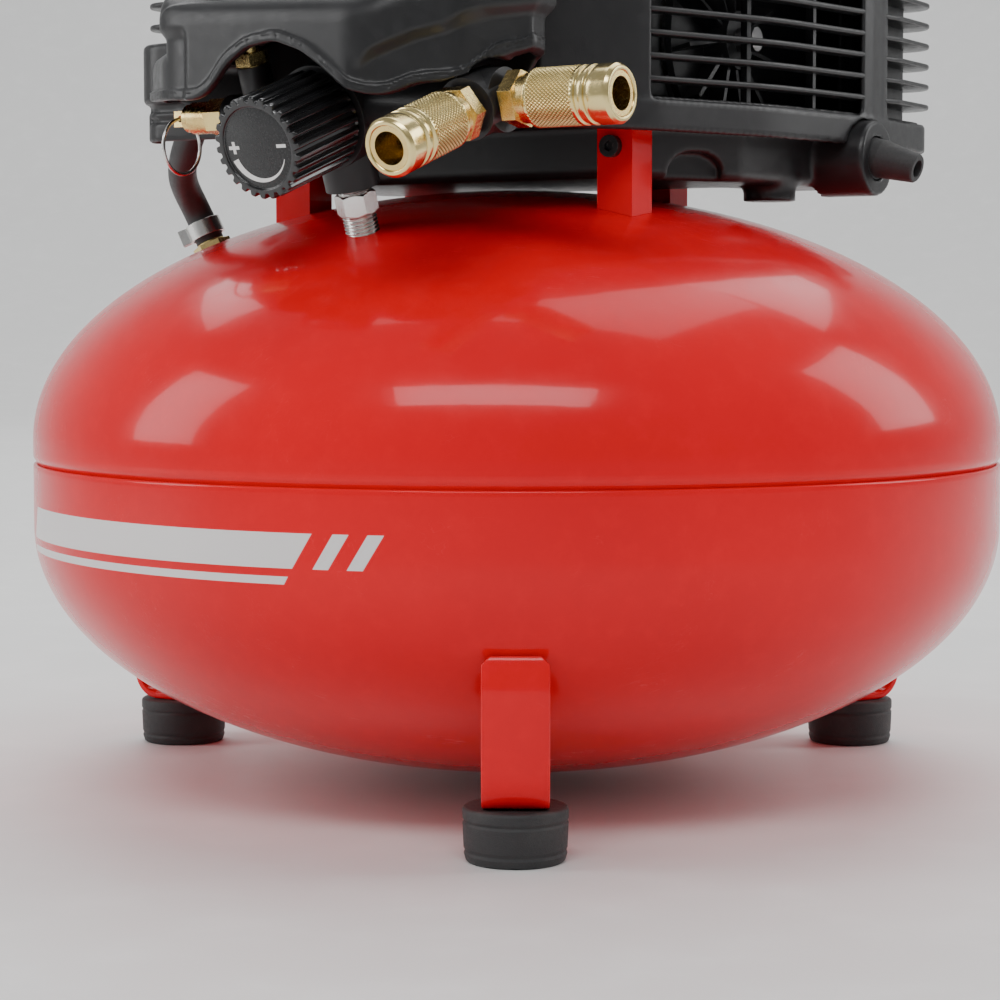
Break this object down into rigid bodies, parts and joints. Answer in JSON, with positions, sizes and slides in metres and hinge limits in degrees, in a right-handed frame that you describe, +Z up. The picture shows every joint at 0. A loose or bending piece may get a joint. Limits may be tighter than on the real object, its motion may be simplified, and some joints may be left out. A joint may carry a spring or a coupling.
{
  "type": "pancake air compressor",
  "caption": "Squat round air tank on rubber feet with a shrouded motor and pump above, a turned regulator knob and quick couplers at the front.",
  "frame": {"origin": "on the floor, under the axis of the tank", "axes": "+Z up along the tank's axis, -Y the side with the single front leg, +X to the right of it"},
  "size_m": [0.4119, 0.4154, 0.458],
  "materials": {
    "tank_red": "gloss",
    "tank_inner_steel": "satin",
    "bright_steel": "polished",
    "zinc_steel": "satin",
    "black_steel": "satin",
    "brass": "polished",
    "aluminium": "satin",
    "cast_alloy": "cast",
    "motor_steel": "satin",
    "foot_rubber": "matte",
    "hose_rubber": "satin",
    "grip_rubber": "matte",
    "belt_rubber": "matte",
    "black_plastic": "satin",
    "knob_plastic": "gloss",
    "label_film": "satin",
    "rocker_red": "gloss",
    "dial_white": "printed",
    "needle_black": "satin",
    "clear_lens": "clear"
  },
  "bodies": {
    "frame_body": {"tank_upper_shell": "tank_red", "tank_lower_shell": "tank_red", "tank_bungs": "tank_inner_steel", "front_leg": "tank_red", "left_leg": "tank_red", "right_leg": "tank_red", "rubber_feet": "foot_rubber", "foot_screws": "zinc_steel", "right_front_bracket": "tank_red", "left_front_bracket": "tank_red", "right_rear_bracket": "tank_red", "left_rear_bracket": "tank_red", "bracket_screws": "black_steel", "base_tray": "black_plastic", "left_shroud": "black_plastic", "right_shroud": "black_plastic", "console_cover": "black_plastic", "carry_handle": "black_steel", "handle_grip": "grip_rubber", "shroud_screws": "black_steel", "check_valve": "brass", "transfer_hose": "hose_rubber", "hose_clamp": "bright_steel", "outlet_nipple": "bright_steel", "regulator_manifold": "black_plastic", "left_coupler_body": "brass", "right_coupler_body": "brass", "safety_valve_body": "brass", "gauge_fitting": "brass", "gauge_tubes": "hose_rubber", "gauge_cases": "black_plastic", "gauge_dials": "dial_white", "gauge_lenses": "clear_lens", "pressure_switch": "black_plastic", "motor_stator": "motor_steel", "motor_brackets": "cast_alloy", "drive_belt": "belt_rubber", "crankcase": "cast_alloy", "cylinder": "aluminium", "cylinder_head": "cast_alloy", "cord_boot": "foot_rubber", "mains_lead": "hose_rubber", "drain_valve_body": "brass"},
    "knob_body": {"regulator_knob": "knob_plastic", "knob_label": "label_film"},
    "left_sleeve_body": {"left_coupler_sleeve": "brass"},
    "right_sleeve_body": {"right_coupler_sleeve": "brass"},
    "safety_stem_body": {"safety_valve_stem": "brass"},
    "safety_ring_body": {"safety_ring": "bright_steel"},
    "tank_needle_body": {"tank_gauge_needle": "needle_black"},
    "outlet_needle_body": {"outlet_gauge_needle": "needle_black"},
    "rocker_body": {"power_rocker": "rocker_red"},
    "flywheel_body": {"flywheel_pulley": "cast_alloy"},
    "armature_body": {"armature_shaft": "motor_steel", "motor_pulley": "aluminium", "cooling_fan": "black_plastic"},
    "rod_body": {"connecting_rod": "aluminium"},
    "piston_body": {"piston": "aluminium"},
    "drain_knob_body": {"drain_knob": "brass"}
  },
  "joints": [
    {"name": "regulator_knob_turn", "type": "hinge", "parent": "frame_body", "child": "knob_body", "pos_m": [-0.07951, -0.13481, 0.27178], "axis": [-0.5302, -0.7805, -0.3312], "range_deg": [-360, 360]},
    {"name": "left_sleeve_pull", "type": "slide", "parent": "frame_body", "child": "left_sleeve_body", "axis": [0.5302, 0.7805, 0.3312], "range_m": [0, 0.0035], "stiffness_N_per_m": 1200, "springref_m": -0.002},
    {"name": "right_sleeve_pull", "type": "slide", "parent": "frame_body", "child": "right_sleeve_body", "axis": [-0.8272, 0.5619, 0], "range_m": [0, 0.0035], "stiffness_N_per_m": 1200, "springref_m": -0.002},
    {"name": "safety_stem_pull", "type": "slide", "parent": "frame_body", "child": "safety_stem_body", "axis": [-0.8272, 0.5619, 0], "range_m": [0, 0.003], "stiffness_N_per_m": 2500, "springref_m": -0.001},
    {"name": "safety_ring_swing", "type": "hinge", "parent": "safety_stem_body", "child": "safety_ring_body", "pos_m": [-0.13425, -0.07481, 0.2784], "axis": [-0.5619, -0.8272, 0], "range_deg": [-75, 5]},
    {"name": "tank_needle_turn", "type": "hinge", "parent": "frame_body", "child": "tank_needle_body", "pos_m": [-0.10859, -0.09452, 0.3441], "axis": [0.3443, 0.551, -0.7601], "range_deg": [0, 270]},
    {"name": "outlet_needle_turn", "type": "hinge", "parent": "frame_body", "child": "outlet_needle_body", "pos_m": [-0.04074, -0.13691, 0.3441], "axis": [0.3443, 0.551, -0.7601], "range_deg": [0, 270]},
    {"name": "power_rocker_tilt", "type": "hinge", "parent": "frame_body", "child": "rocker_body", "pos_m": [-0.07363, -0.11406, 0.34182], "axis": [0.848, -0.5299, 0], "range_deg": [0, 14]},
    {"name": "flywheel_spin", "type": "hinge", "parent": "frame_body", "child": "flywheel_body", "pos_m": [-0.07314, -0.02269, 0.31], "axis": [0.848, -0.5299, 0], "continuous": true},
    {"name": "armature_spin", "type": "hinge", "parent": "frame_body", "child": "armature_body", "pos_m": [0.00742, 0.01187, 0.313], "axis": [0.848, -0.5299, 0], "continuous": true},
    {"name": "rod_swing", "type": "hinge", "parent": "flywheel_body", "child": "rod_body", "pos_m": [-0.05194, -0.03594, 0.319], "axis": [0.848, -0.5299, 0], "continuous": true},
    {"name": "piston_slide", "type": "slide", "parent": "frame_body", "child": "piston_body", "axis": [0, 0, 1], "range_m": [-0.018, 0]},
    {"name": "drain_knob_turn", "type": "hinge", "parent": "frame_body", "child": "drain_knob_body", "pos_m": [0.07, 0.12124, 0.03452], "axis": [0.2134, 0.3696, -0.9044], "range_deg": [0, 180]}
  ],
  "couplings": [
    {"joint": "armature_spin", "follows": "flywheel_spin", "ratio": 2.4888},
    {"joint": "rod_swing", "follows": "flywheel_spin", "ratio": -1}
  ]
}
